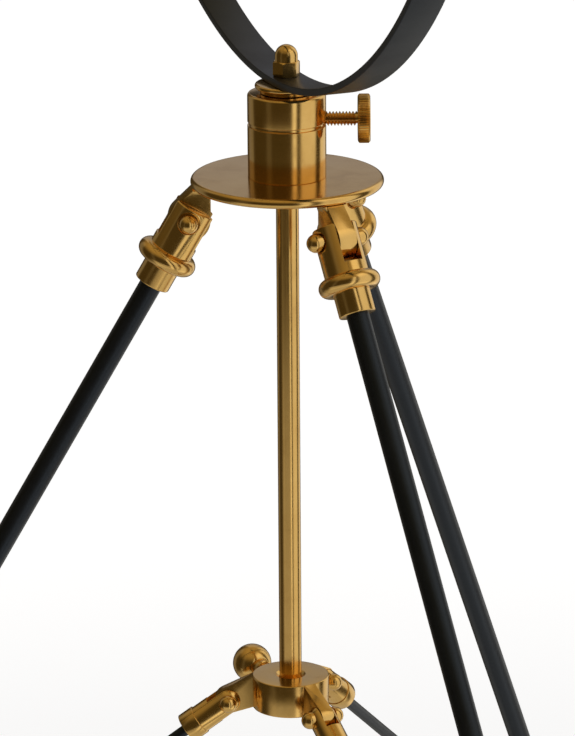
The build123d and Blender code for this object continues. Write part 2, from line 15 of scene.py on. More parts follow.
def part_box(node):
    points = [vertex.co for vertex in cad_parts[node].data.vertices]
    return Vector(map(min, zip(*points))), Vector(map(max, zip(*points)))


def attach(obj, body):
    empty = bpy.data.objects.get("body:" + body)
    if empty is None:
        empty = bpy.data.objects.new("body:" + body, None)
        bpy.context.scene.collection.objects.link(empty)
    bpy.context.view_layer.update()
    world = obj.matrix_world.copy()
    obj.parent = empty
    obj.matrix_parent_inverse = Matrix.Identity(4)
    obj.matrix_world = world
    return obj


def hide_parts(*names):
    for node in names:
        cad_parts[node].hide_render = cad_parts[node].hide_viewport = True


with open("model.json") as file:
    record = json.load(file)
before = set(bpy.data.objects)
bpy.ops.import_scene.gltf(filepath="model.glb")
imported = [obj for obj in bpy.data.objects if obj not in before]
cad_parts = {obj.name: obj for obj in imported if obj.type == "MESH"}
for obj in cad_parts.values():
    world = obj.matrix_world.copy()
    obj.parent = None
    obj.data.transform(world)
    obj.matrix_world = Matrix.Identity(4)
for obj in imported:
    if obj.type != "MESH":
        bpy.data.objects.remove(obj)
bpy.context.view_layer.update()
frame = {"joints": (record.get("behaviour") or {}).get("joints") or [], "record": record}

MM = 0.001
UP = Vector((0, 0, 1))
LIMBS = ("left", "front", "back")


# ---------------------------------------------------------------- places, read from the frame
def joint(name):
    """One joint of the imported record."""
    return next(j for j in frame["joints"] if j["name"] == name)


def pivot(name):
    """Where a joint is."""
    return Vector(joint(name)["pos_m"])


def foot_place(name):
    """Where a leg stands on the floor."""
    mounts = frame["record"]["mounts"]
    return Vector(next(m for m in mounts if m["name"] == f"foot_{name}")["pos_m"])


def middle(node):
    """Middle of a CAD node's box."""
    low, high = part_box(node)
    return (low + high) / 2


def place(origin, z_dir, x_dir):
    """Matrix of a local frame with that z, and with x as near to x_dir as it can be."""
    z = Vector(z_dir).normalized()
    x = Vector(x_dir)
    x = (x - z * x.dot(z)).normalized()
    turned = Matrix((x, z.cross(x), z)).transposed().to_4x4()
    return Matrix.Translation(Vector(origin)) @ turned


def in_plane(start, end):
    """Millimetres between two points in the plane of the left limb, which is the xz plane."""
    return hypot(end.x - start.x, end.z - start.z) / MM


AXIS_X = middle("centre_rod").x
PLATE_BOTTOM, PLATE_TOP = (corner.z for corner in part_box("top_plate"))
HUB_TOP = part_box("hub")[1].z
RING_CENTRE = pivot("sphere_spin")
POLAR = Vector(joint("sphere_spin")["axis"]).normalized()
RING_AXIS = UP.cross(POLAR).normalized()
CROSSING = POLAR.cross(RING_AXIS)
LEG_PIN, EYE_PIN = pivot("leg_left_fold"), middle("eye_pin_left")
COLLAR_PLACE = in_plane(LEG_PIN, EYE_PIN)  # down a leg, from its pin
BRACE_LENGTH = in_plane(pivot("brace_left_fold"), EYE_PIN)  # from pin to pin
LEG_LENGTH = (foot_place("left") - LEG_PIN).length / MM


def station(height):
    """Upright local frame on the stand's axis."""
    return place((AXIS_X, 0, height), UP, (1, 0, 0))


def ring_frame(normal):
    """Local frame of a ring of the instrument: z square to the ring, x level."""
    return place(RING_CENTRE, normal, UP.cross(normal))


def pole(sign):
    """Local frame at the instrument's middle, z along the polar axis, up or down."""
    return place(RING_CENTRE, POLAR * sign, RING_AXIS)


def side_of(name):
    """Level direction along a limb's hinge pins."""
    return -Vector(joint(f"leg_{name}_fold")["axis"])


def screw_frame(name):
    """Local frame of a screw: z out along its axis, from where its joint is."""
    screw = joint(name)
    return place(screw["pos_m"], screw["axis"], UP)


def leg_frame(name):
    """Local frame at a leg's pin: x along the pin, z down the leg to the floor."""
    pin = pivot(f"leg_{name}_fold")
    return place(pin, foot_place(name) - pin, side_of(name))


def brace_frame(name):
    """Local frame at a brace's pin on the hub: x along the pin, z down the brace."""
    pin = pivot(f"brace_{name}_fold")
    far_end = leg_frame(name) @ Vector((0, 0, COLLAR_PLACE * MM))
    return place(pin, far_end - pin, side_of(name))


def across(base, shift=(0, 0, 0)):
    """A limb's local frame turned so that z runs along its hinge pins."""
    turned = Matrix(((0, 0, 1), (1, 0, 0), (0, 1, 0))).to_4x4()
    return base @ Matrix.Translation(Vector(shift) * MM) @ turned


# ---------------------------------------------------------------- mesh helpers
WELD = 0.0005  # vertices of a new mesh nearer than this are one vertex
SLIVER = 0.004  # edges shorter than this are leftovers of a cut
POLE = 1e-6  # an outline's point nearer the axis than this is on it


def rounded(corners, steps=4):
    """Outline from (x, y, rounding) corners, where each rounded corner becomes an arc."""
    points = []
    for i, (x, y, rounding) in enumerate(corners):
        here = Vector((x, y))
        if rounding <= 0:
            points.append((x, y))
            continue
        before = (Vector(corners[i - 1][:2]) - here).normalized()
        after = (Vector(corners[(i + 1) % len(corners)][:2]) - here).normalized()
        half = before.angle(after) / 2
        centre = here + (before + after).normalized() * (rounding / sin(half))
        start = here + before * (rounding / tan(half)) - centre
        end = here + after * (rounding / tan(half)) - centre
        first = atan2(start.y, start.x)
        swept = atan2(start.x * end.y - start.y * end.x, start.dot(end))
        points += arc(*centre, rounding, degrees(first), degrees(first + swept), steps)
    return points


def arc(x, y, radius, start, end, steps):
    """Points on an arc, with angles in degrees."""
    angles = [radians(start + (end - start) * k / steps) for k in range(steps + 1)]
    return [(x + radius * cos(a), y + radius * sin(a)) for a in angles]


def cylinder(radius, low, high, low_edge=0, high_edge=0, steps=4):
    """Half outline of a solid cylinder, with its two edges rounded."""
    corners = [(0, low, 0), (radius, low, low_edge), (radius, high, high_edge), (0, high, 0)]
    return rounded(corners, steps)


def tube(bore, radius, low, high, bore_edge, edge):
    """Closed outline of a tube's wall, with its four edges rounded."""
    corners = [(bore, low, bore_edge), (radius, low, edge)]
    corners += [(radius, high, edge), (bore, high, bore_edge)]
    return rounded(corners, 3)


def hexagon(reach, turn=0):
    """Outline of a regular hexagon, from its middle-to-corner size and the angle of a corner."""
    return arc(0, 0, reach, turn, turn + 300, 5)


def rectangle(x, y, corner=0.0, steps=4):
    """Outline of a rectangle from its half sizes."""
    return rounded([(-x, -y, corner), (x, -y, corner), (x, y, corner), (-x, y, corner)], steps)


def mesh_of(name, verts, faces):
    """Mesh from vertices in millimetres, with its faces turned outward."""
    mesh = bpy.data.meshes.new(name)
    mesh.from_pydata([Vector(v) * MM for v in verts], [], faces)
    bm = bmesh.new()
    bm.from_mesh(mesh)
    bmesh.ops.remove_doubles(bm, verts=bm.verts, dist=WELD * MM)
    bmesh.ops.recalc_face_normals(bm, faces=bm.faces)
    bm.to_mesh(mesh)
    bm.free()
    return mesh


def smooth(mesh, angle=32):
    """Smooth shading, with edges sharper than angle kept crisp."""
    mesh.polygons.foreach_set("use_smooth", [True] * len(mesh.polygons))
    mesh.set_sharp_from_angle(angle=radians(angle))


def put(name, mesh, base):
    """Object for a mesh, in a local frame."""
    piece = bpy.data.objects.new(name, mesh)
    bpy.context.scene.collection.objects.link(piece)
    piece.matrix_world = base
    return piece


def upright(piece):
    """Keeps a piece where it is, with its mesh written in an untilted local frame."""
    level = Matrix.Translation(piece.matrix_world.translation)
    piece.data.transform(level.inverted() @ piece.matrix_world)
    piece.matrix_world = level


def lathe(name, outline, base, segments=96, closed=False):
    """Turned piece: a (radius, height) outline spun about the local z. Radius 0 is a pole."""
    verts, rings, faces = [], [], []
    for r, h in outline:
        count = 1 if r < POLE else segments
        rings.append([len(verts) + k for k in range(count)])
        turns = [2 * pi * k / count for k in range(count)]
        verts += [(r * cos(a), r * sin(a), h) for a in turns]
    pairs = list(zip(rings, rings[1:]))
    if closed:
        pairs.append((rings[-1], rings[0]))
    for low, high in pairs:
        if len(low) == 1 and len(high) == 1:
            continue
        for k in range(segments):
            n = (k + 1) % segments
            corners = [low[i % len(low)] for i in (k, n)] + [high[i % len(high)] for i in (n, k)]
            faces.append(tuple(dict.fromkeys(corners)))
    mesh = mesh_of(name, verts, faces)
    smooth(mesh)
    return put(name, mesh, base)


def loft(name, sections, base):
    """Solid through a stack of (height, outline) sections with the same number of points."""
    count = len(sections[0][1])
    verts = [(x, y, z) for z, outline in sections for x, y in outline]
    faces = [tuple(range(count)), tuple(range(len(verts) - count, len(verts)))]
    for start in range(0, len(verts) - count, count):
        for k in range(count):
            n = (k + 1) % count
            faces.append((start + k, start + n, start + n + count, start + k + count))
    return put(name, mesh_of(name, verts, faces), base)


def prism(name, outline, low, high, base):
    """Flat outline in the local xy plane, made solid from z = low to z = high."""
    return loft(name, [(low, outline), (high, outline)], base)


def drill(base, radius, low, high, segments=64):
    """Round cutter along the local z."""
    return lathe("cutter", cylinder(radius, low, high), base, segments)


def bake_modifiers(piece):
    """Replaces the piece's mesh by what its modifiers make of it."""
    bpy.context.view_layer.update()
    graph = bpy.context.evaluated_depsgraph_get()
    result = bpy.data.meshes.new_from_object(piece.evaluated_get(graph))
    piece.modifiers.clear()
    piece.data = result


def carve(piece, cutters=(), joined=(), common=(), edge=0.25, segments=2, angle=34):
    """Joins, intersects and cuts solids, then rounds the sharp edges a little."""
    for kind, others in (("UNION", joined), ("INTERSECT", common), ("DIFFERENCE", cutters)):
        for other in others:
            step = piece.modifiers.new(kind, "BOOLEAN")
            step.operation = kind
            step.object = other
            step.solver = "EXACT"
            bake_modifiers(piece)
            bpy.data.objects.remove(other)
    bm = bmesh.new()
    bm.from_mesh(piece.data)
    bmesh.ops.remove_doubles(bm, verts=bm.verts, dist=SLIVER * MM)
    bmesh.ops.dissolve_degenerate(bm, edges=bm.edges, dist=SLIVER * MM)
    bm.to_mesh(piece.data)
    bm.free()
    if edge > 0:
        rounding = piece.modifiers.new("edge", "BEVEL")
        rounding.width = edge * MM
        rounding.segments = segments
        rounding.limit_method = "ANGLE"
        rounding.angle_limit = radians(angle)
        bake_modifiers(piece)
    smooth(piece.data, angle)
    return piece


def joined_up(name, parts):
    """One piece from several separate solids."""
    first = parts[0]
    first.name = name
    bm = bmesh.new()
    bm.from_mesh(first.data)
    for part in parts[1:]:
        start = len(bm.verts)
        bm.from_mesh(part.data)
        bm.verts.ensure_lookup_table()
        move = first.matrix_world.inverted() @ part.matrix_world
        bmesh.ops.transform(bm, matrix=move, verts=bm.verts[start:])
        bpy.data.objects.remove(part)
    bm.to_mesh(first.data)
    bm.free()
    return first


def dress(piece, body, material, *nodes):
    """Gives a piece its material and body, and hides the CAD nodes that it stands for."""
    piece.data.materials.clear()
    piece.data.materials.append(material)
    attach(piece, body)
    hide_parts(*nodes)


# ---------------------------------------------------------------- materials
class Nodes:
    """A node tree, with short calls for the nodes that materials and the world share."""

    def __init__(self, tree):
        self.tree = tree

    def add(self, kind, **settings):
        """New node of a kind, with its settings."""
        node = self.tree.nodes.new(kind)
        for key, value in settings.items():
            setattr(node, key, value)
        return node

    def feed(self, socket, value):
        """Links a node's output to a socket, or sets the socket's own value."""
        if isinstance(value, bpy.types.NodeSocket):
            self.tree.links.new(value, socket)
        else:
            socket.default_value = value

    def maths(self, operation, first, second=0.0):
        """Result of an operation on one or two values."""
        node = self.add("ShaderNodeMath", operation=operation)
        self.feed(node.inputs[0], first)
        self.feed(node.inputs[1], second)
        return node.outputs[0]


class Finish(Nodes):
    """A procedural material."""

    def __init__(self, name):
        self.material = bpy.data.materials.new(name)
        self.material.use_nodes = True
        super().__init__(self.material.node_tree)
        self.shader = self.tree.nodes["Principled BSDF"]

    def noise(self, stretch, detail=4.0, roughness=0.55, warp=0.0):
        """Noise over the piece's own coordinates: so many cells in a metre along x, y and z."""
        where = self.add("ShaderNodeTexCoord")
        mapping = self.add("ShaderNodeMapping")
        self.feed(mapping.inputs["Vector"], where.outputs["Object"])
        self.feed(mapping.inputs["Scale"], stretch)
        node = self.add("ShaderNodeTexNoise")
        self.feed(node.inputs["Vector"], mapping.outputs["Vector"])
        self.feed(node.inputs["Scale"], 1.0)
        self.feed(node.inputs["Detail"], detail)
        self.feed(node.inputs["Roughness"], roughness)
        self.feed(node.inputs["Distortion"], warp)
        return node.outputs["Fac"]

    def nearness(self, point, near, far):
        """1 around a point of the piece's own coordinates, falling to 0 at far metres."""
        where = self.add("ShaderNodeTexCoord")
        node = self.add("ShaderNodeVectorMath", operation="DISTANCE")
        self.feed(node.inputs[0], where.outputs["Object"])
        self.feed(node.inputs[1], point)
        return self.spread(node.outputs["Value"], 1, 0, near, far)

    def spread(self, value, low, high, start=0.3, end=0.7):
        """Value mapped from start..end to low..high, and clamped."""
        node = self.add("ShaderNodeMapRange")
        limits = {"Value": value, "From Min": start, "From Max": end, "To Min": low, "To Max": high}
        for key, given in limits.items():
            self.feed(node.inputs[key], given)
        return node.outputs["Result"]

    def blend(self, share, first, second):
        """Colour between first and second."""
        node = self.add("ShaderNodeMix", data_type="RGBA")
        colours = [socket for socket in node.inputs if socket.type == "RGBA"]
        for socket, colour in zip(colours, (first, second)):
            self.feed(socket, (*colour, 1) if isinstance(colour, tuple) else colour)
        self.feed(node.inputs["Factor"], share)
        return next(socket for socket in node.outputs if socket.type == "RGBA")

    def bump(self, height, strength, depth, normal=None):
        """Bump of a depth in millimetres."""
        node = self.add("ShaderNodeBump")
        self.feed(node.inputs["Height"], height)
        self.feed(node.inputs["Strength"], strength)
        self.feed(node.inputs["Distance"], depth * MM)
        if normal is not None:
            self.feed(node.inputs["Normal"], normal)
        return node.outputs["Normal"]

    def set(self, **values):
        """Sets or links the shader's sockets, with _ for a space in their names."""
        for key, value in values.items():
            self.feed(self.shader.inputs[key.replace("_", " ")], value)


BRASS_LIGHT = (0.82, 0.53, 0.175)
BRASS_WARM = (0.75, 0.465, 0.140)
TARNISH = (0.42, 0.25, 0.095)
LACQUER, LACQUER_RUBBED = (0.006, 0.006, 0.0075), (0.016, 0.016, 0.0185)
COOL_SHEEN = (0.62, 0.78, 1.0, 1)
RUBBER_CLEAN, RUBBER_DUSTY = (0.012, 0.012, 0.012), (0.05, 0.047, 0.042)


def brass(name, grain, depth, rough, stains=0.5):
    """Lacquered brass. Its grain is stretched noise: turned rings, drawn streaks or cast skin."""
    finish = Finish(name)
    lines = finish.noise(grain, 3.0, 0.6)
    clouds = finish.noise((70, 70, 70), 5.0, 0.6, 0.4)
    specks = finish.noise((1100, 1100, 1100), 2.0)
    metal = finish.blend(finish.spread(clouds, 0, 1, 0.35, 0.68), BRASS_LIGHT, BRASS_WARM)
    stained = finish.maths("MULTIPLY", finish.spread(clouds, 0, stains, 0.56, 0.8), specks)
    smudges = finish.spread(clouds, rough, rough + 0.07)
    fine = finish.bump(lines, 0.35, depth)
    finish.set(
        Base_Color=finish.blend(stained, metal, TARNISH),
        Roughness=finish.maths("ADD", smudges, finish.spread(lines, -0.02, 0.04)),
        Normal=finish.bump(specks, 0.06, 0.012, fine),
        Metallic=1.0,
        Coat_Weight=0.1,
        Coat_Roughness=0.12,
    )
    return finish.material


def satin_black():
    """Satin black lacquer on steel: fine orange peel and faint rubbed patches."""
    finish = Finish("satin_black")
    peel = finish.noise((1300, 1300, 1300), 2.0)
    patches = finish.noise((40, 40, 40), 5.0, 0.6)
    finish.set(
        Base_Color=finish.blend(patches, LACQUER, LACQUER_RUBBED),
        Roughness=finish.spread(patches, 0.33, 0.46),
        Normal=finish.bump(peel, 0.16, 0.02),
        Metallic=0.0,
        IOR=1.5,
        Specular_IOR_Level=0.5,
        Specular_Tint=COOL_SHEEN,
    )
    return finish.material


def moulded_rubber():
    """Matte black rubber with a fine grain and a little floor dust."""
    finish = Finish("moulded_rubber")
    grain = finish.noise((1700, 1700, 1700), 3.0)
    dust = finish.spread(finish.noise((150, 150, 150), 5.0, 0.7), 0, 1, 0.5, 0.8)
    finish.set(
        Base_Color=finish.blend(dust, RUBBER_CLEAN, RUBBER_DUSTY),
        Roughness=finish.spread(dust, 0.62, 0.85, 0, 1),
        Normal=finish.bump(grain, 0.3, 0.05),
        Metallic=0.0,
    )
    return finish.material


TURNED = brass("brass_turned", (50, 50, 3800), 0.010, 0.12)
DRAWN = brass("brass_drawn", (1500, 1500, 14), 0.010, 0.15)
CAST = brass("brass_cast", (260, 260, 260), 0.016, 0.14, 0.8)
BLACK = satin_black()
RUBBER = moulded_rubber()


# ---------------------------------------------------------------- head of the stand
PLATE_RADIUS = 40
SCREW_SHANK = 3.0  # outside of the thumbscrew's thread
FLANGE_TOP = 39.4  # above the plate
RING_RADIUS = 200.0  # outside of the meridian ring
NESTED_RADIUS = 139.0  # outside of the largest ring that turns inside it
NESTED_STEP = 3.25  # from the outside of one nested ring to the outside of the next
BAND = 3.0  # thickness of every ring
AXIS_BORE = 3.1  # of what sits on the polar rod


def make_plate():
    """Round plate with a full round rim."""
    thick = (PLATE_TOP - PLATE_BOTTOM) / MM
    rim = thick / 2 - 0.05  # just short of a half round, so that its two arcs don't meet
    outline = cylinder(PLATE_RADIUS, 0, thick, rim, rim, 12)
    plate = lathe("plate_disc", outline, station(PLATE_BOTTOM), 192)
    dress(plate, "head", TURNED, "top_plate")


def make_collar():
    """Collar with a groove round it, open on top for the spigot and on one side for the screw."""
    height = (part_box("collar")[1].z - PLATE_TOP) / MM
    radius, bore, floor = 16.25, 8.05, 7.0
    groove, half, depth, slope = 22.5, 0.75, 0.8, 0.15
    corners = [
        (0, 0, 0),
        (radius, 0, 0.3),
        (radius, groove - half, 0.25),
        (radius - depth, groove - half + slope, 0.3),
        (radius - depth, groove + half - slope, 0.3),
        (radius, groove + half, 0.25),
        (radius, height, 1.3),
        (bore, height, 0.3),
        (bore, floor, 0),
        (0, floor, 0),
    ]
    collar = lathe("collar_body", rounded(corners, 5), station(PLATE_TOP), 144)
    inside, outside = 10, 20  # both clear of the wall
    hole = drill(screw_frame("thumbscrew_turn"), SCREW_SHANK + 0.15, inside, outside)
    carve(collar, [hole], edge=0)
    dress(collar, "head", TURNED, "collar")


def make_centre_rod():
    """Drawn rod from the plate down to the hub, with a stop screw under its end."""
    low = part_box("rod_stop_screw")[0].z
    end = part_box("centre_rod")[0].z
    radius, length = 4.75, (PLATE_BOTTOM - end) / MM
    rod = lathe("centre_rod_bar", cylinder(radius, 0, length, 0.4, 0, 3), station(end), 64)
    dress(rod, "head", DRAWN, "centre_rod")

    height, head, socket, depth = (end - low) / MM, 6.5, 2, 1.6
    screw = lathe("rod_stop_head", cylinder(head, 0, height, 1.9, 0.2, 6), station(low), 64)
    key = prism("cutter", hexagon(socket), -depth, depth, station(low))
    carve(screw, [key], edge=0.12)
    dress(screw, "head", TURNED, "rod_stop_screw")


def make_lug(name):
    """Lug under the plate: a rounded knuckle for the leg's pin, with a flared foot."""
    pin = pivot(f"leg_{name}_fold")
    outward = (pin - Vector((AXIS_X, 0, pin.z))).normalized()
    base = place(pin, outward.cross(UP), outward)
    top = (PLATE_BOTTOM - pin.z) / MM
    radius, half, outer = 9.0, 3.9, -1.5
    flare, flare_height, steps = 1.7, 3.0, 6
    touch = atan2(top, outer) - acos(radius / hypot(outer, top))
    outline = [(-radius, top), *arc(0, 0, radius, 180, 360 + degrees(touch), 28), (outer, top)]
    lug = prism("lug", outline, -half, half, base)
    foot_base = base @ Matrix.Translation(Vector(((outer - radius) / 2, top, 0)) * MM)
    foot_base = foot_base @ Matrix.Rotation(pi / 2, 4, "X")
    reach = (outer + radius) / 2 - 0.05
    sections = []
    for k in range(steps + 1):
        turned = pi / 2 * k / steps
        half_width = half + flare * (1 - sin(turned))
        sections.append((flare_height * (1 - cos(turned)), rectangle(reach, half_width, 0.3, 2)))
    carve(lug, joined=[loft("foot", sections, foot_base)], edge=0.5, segments=3, angle=40)
    lug.name = f"lug_{name}"
    dress(lug, "head", CAST, f"leg_lug_{name}")


def coarse_thread(base, radius, start, end):
    """Rolled thread, as one profile swept up a helix."""
    pitch, depth, per_turn = 1.36, 0.86, 40
    root = radius - depth
    # (share of the pitch, radius)
    profile = ((0, root), (0.1, root), (0.46, radius), (0.58, radius), (0.94, root), (1, root))
    count = int((end - start) / pitch - 1) * per_turn
    width = len(profile)
    verts, faces = [], []
    for step in range(count + 1):
        turned = 2 * pi * step / per_turn
        rise = start + pitch * step / per_turn
        verts += [(r * cos(turned), r * sin(turned), rise + pitch * part) for part, r in profile]
    for step in range(count):
        for corner in range(step * width, step * width + width - 1):
            faces.append((corner, corner + 1, corner + 1 + width, corner + width))
    last, middle_vertex = count * width, len(verts)
    verts += [(0, 0, start), (0, 0, start + pitch * (count / per_turn + 1))]
    near = [step * width for step in range(per_turn)] + list(range(width - 1, 0, -1))
    far = [last - step * width + width - 1 for step in range(per_turn)]
    far += list(range(last, last + width - 1))
    for shift, loop in enumerate((near, far)):
        for k in range(len(loop)):
            faces.append((middle_vertex + shift, loop[k], loop[(k + 1) % len(loop)]))
    mesh = mesh_of("thread", verts, faces)
    smooth(mesh, 25)
    return put("thread", mesh, base)


def knurled_head(base, radius, low, high):
    """Disc with straight knurling round its rim and plain chamfered faces."""
    teeth, depth = 60, 0.6
    tooth = ((0, 0), (0.3, 0), (0.62, 1), (0.78, 1))  # (share of a tooth, share of the depth)
    turns = [(k + part, cut) for k in range(teeth) for part, cut in tooth]
    around = [(2 * pi * turn / teeth, cut * depth) for turn, cut in turns]
    face, chamfer = radius - 1.0, radius - 0.45
    near_middle, far_middle = 2.6, 4.0  # the plain patches in the middle of the two faces
    rim = [(0, face, 0), (0.25, chamfer, 0.2), (0.7, radius, 1)]
    rows = [(low, near_middle, 0)] + [(low + inward, r, share) for inward, r, share in rim]
    rows += [(high - inward, r, share) for inward, r, share in reversed(rim)]
    rows.append((high, far_middle, 0))
    sections = []
    for height, r, share in rows:
        outline = [((r - cut * share) * cos(a), (r - cut * share) * sin(a)) for a, cut in around]
        sections.append((height, outline))
    head = loft("head", sections, base)
    smooth(head.data, 28)  # keeps each tooth's edges crisp
    return head


def make_thumbscrew():
    """Thumbscrew: a coarse thread and a straight-knurled disc head."""
    base = screw_frame("thumbscrew_turn")
    tip, thread_start, head_start, head_end = 8.3, 10.3, 29.2, 34.4  # out from the collar's axis
    point, core_radius, core_end, head_radius = 2.3, 2.05, head_start + 1, 10.2
    corners = [(0, tip, 0), (point, tip, 0.3), (point, thread_start, 0.1)]
    corners += [(core_radius, thread_start, 0.1), (core_radius, core_end, 0), (0, core_end, 0)]
    core = lathe("core", rounded(corners, 3), base, 40)
    head = knurled_head(base, head_radius, head_start, head_end)
    thread = coarse_thread(base, SCREW_SHANK, thread_start, head_start + 0.4)
    piece = joined_up("thumbscrew", [head, thread, core])
    dress(piece, "thumbscrew", TURNED, "collar_thumbscrew")


def make_ring_seat():
    """Spigot with the flange that the ring stands on."""
    stem, neck, flange = 7.95, 11.0, 13.1
    stem_bottom, neck_bottom, thick = 8, 35.7, 2.2
    corners = [
        (0, stem_bottom, 0),
        (stem, stem_bottom, 0.4),
        (stem, neck_bottom, 0.2),
        (neck, neck_bottom, 0.2),
        (neck, FLANGE_TOP - thick, 0.2),
        (flange, FLANGE_TOP - thick, 1.0),
        (flange, FLANGE_TOP, 1.0),
        (0, FLANGE_TOP, 0),
    ]
    spigot = lathe("spigot", rounded(corners, 6), station(PLATE_TOP), 128)
    dress(spigot, "ring", TURNED, "ring_spigot", "ring_seat")


def make_cap_nut():
    """Acorn nut inside the ring: chamfered hexagon under a dome."""
    low, high = (corner.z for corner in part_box("cap_nut"))
    height = (high - low) / MM
    flats, nut_height, dome, slope = 10.0, 6.2, 4.75, 0.75
    reach, spare, sunk = flats / sqrt(3), 0.1, nut_height - 1
    nut = prism("nut", hexagon(reach, 15), 0, nut_height, station(low))
    blank = [
        (0, -spare),
        (flats / 2 + spare, -spare),
        (reach + spare, slope / 2),
        (reach + spare, nut_height - slope),
        (flats / 2 - spare, nut_height + spare / 2),
        (0, nut_height + spare / 2),
    ]
    carve(nut, common=[lathe("blank", blank, station(low), 96)], edge=0.12)
    outline = [(0, sunk), (dome, sunk), *arc(0, height - dome, dome, 0, 84, 12), (0, height)]
    cap = lathe("cap", outline, station(low), 96)
    dress(joined_up("acorn_nut", [nut, cap]), "ring", CAST, "cap_nut", "ring_stud")


# ---------------------------------------------------------------- rings and what is inside them
def hoop(name, normal, radius, width, body, node, segments):
    """Flat band bent into a ring, with softened rims."""
    edge = 0.45
    outline = tube(radius - BAND, radius, -width / 2, width / 2, edge, edge)
    ring = lathe(name, outline, ring_frame(normal), segments, closed=True)
    dress(ring, body, BLACK, node)


def make_rings():
    """Meridian ring, and the three nested rings that turn inside it."""
    ecliptic = Matrix.Rotation(radians(23.5), 3, CROSSING) @ POLAR
    hoop("meridian", RING_AXIS, RING_RADIUS, 15, "ring", "meridian_ring", 288)
    nested = (("colure", RING_AXIS), ("equator", POLAR), ("ecliptic", ecliptic))
    for k, (name, normal) in enumerate(nested):
        hoop(name, normal, NESTED_RADIUS - k * NESTED_STEP, 10, "sphere", f"{name}_ring", 224)


def sleeve(name, outline, sign):
    """Turned sleeve on the polar axis."""
    return lathe(name, outline, pole(sign), 64, closed=True)


def make_axis():
    """Polar rod with its bushes in the meridian ring, collars on the colure ring and the globe."""
    radius, reach = 3, RING_RADIUS + 8
    rod = lathe("polar_rod", cylinder(radius, -reach, reach, 0.5, 0.5, 3), pole(1), 48)
    dress(rod, "sphere", DRAWN, "axis_rod")

    inner, outer, flange, thick, wall = RING_RADIUS - 5.2, RING_RADIUS + 2, 7.5, 1.6, 5
    bush = [
        (AXIS_BORE, inner, 0.2),
        (flange, inner, 0.5),
        (flange, inner + thick, 0.15),
        (wall, inner + thick, 0),
        (wall, outer, 0.5),
        (AXIS_BORE, outer, 0.2),
    ]
    bushes = [sleeve("bush", rounded(bush, 3), sign) for sign in (1, -1)]
    dress(joined_up("bushes", bushes), "ring", TURNED, "axis_bushes")

    length, radius = 5.0, 6.0
    starts = (NESTED_RADIUS - BAND - length - 0.3, NESTED_RADIUS + 0.1)
    collars = []
    for sign in (1, -1):
        for low in starts:
            outline = tube(AXIS_BORE, radius, low, low + length, 0.2, 0.6)
            collars.append(sleeve("collar", outline, sign))
    dress(joined_up("pole_collars", collars), "sphere", TURNED, "axis_collars")

    ball = 17
    outline = [(0, -ball), *arc(0, 0, ball, -88, 88, 44), (0, ball)]
    globe = lathe("globe", outline, pole(1), 96)
    dress(globe, "sphere", TURNED, "centre_globe")


def make_arrow():
    """Arrow on the polar rod's ends: a turned point with a barb, and a four-finned tail."""
    start, socket = RING_RADIUS + 2.7, RING_RADIUS + 10.7
    stem_radius, waist, barb, length = 5.0, 4.2, 10.0, 24
    tip, blunt = socket + length, 0.5
    corners = [
        (0, start, 0),
        (stem_radius, start, 0.5),
        (waist, socket - 0.9, 0.6),
        (barb, socket - 1.5, 0.5),
        (blunt, tip, 0.4),
        (0, tip, 0),
    ]
    dress(lathe("arrow_point", rounded(corners, 4), pole(1), 64), "sphere", TURNED, "arrow_head")

    end, reach, half, inner, root = start + length, 11.0, 0.9, 1, 4
    front, shoulder, notch, stem_end = start + 3, start + 10, end - 6, end - 4
    stem = lathe("stem", cylinder(stem_radius, start, stem_end, 0.6, 1.2), pole(-1), 64)
    outline = [
        (inner, front, 0),
        (root, front, 0),
        (reach, shoulder, 1.2),
        (reach, end, 0.6),
        (root, notch, 0.8),
        (inner, notch, 0),
    ]
    fins = []
    for quarter in range(4):
        turned = Matrix.Rotation(quarter * pi / 2, 4, "Z") @ Matrix.Rotation(pi / 2, 4, "X")
        fin = prism("fin", rounded(outline, 4), -half, half, pole(-1) @ turned)
        fins.append(carve(fin, edge=0.3, segments=3))
    dress(joined_up("arrow_fletching", [stem, *fins]), "sphere", CAST, "arrow_tail")


def make_rivets():
    """Two domed rivets where the nested rings cross."""
    inner, outer = NESTED_RADIUS - 2 * NESTED_STEP - BAND, NESTED_RADIUS
    head, shank, dome = 3.4, 2.0, 1.6
    corners = [(0, inner - dome, 0), (head, inner - dome, 1.1), (head, inner, 0)]
    corners += [(shank, inner, 0), (shank, outer, 0)]
    corners += [(head, outer, 0), (head, outer + dome, 1.1), (0, outer + dome, 0)]
    rivets = []
    for sign in (1, -1):
        base = place(RING_CENTRE, CROSSING * sign, POLAR)
        rivets.append(lathe("rivet", rounded(corners, 5), base, 48))
    dress(joined_up("rivets", rivets), "sphere", TURNED, "ring_rivets")


# ---------------------------------------------------------------- limbs
LEG_ROD = 4.75
BOSS_END = 7.8  # side face of the boss that the brace's eye stands beside


def domed_pin(shaft, head, seat, cheek):
    """Outline of a pin whose domed heads stand on straight cheeks, from seat outwards."""
    upper = [(shaft, seat), (head, seat), *arc(0, seat + cheek, head, 0, 84, 14)]
    lower = [(r, -h) for r, h in reversed(upper)]
    return [(0, -seat - cheek - head), *lower, *upper, (0, seat + cheek + head)]


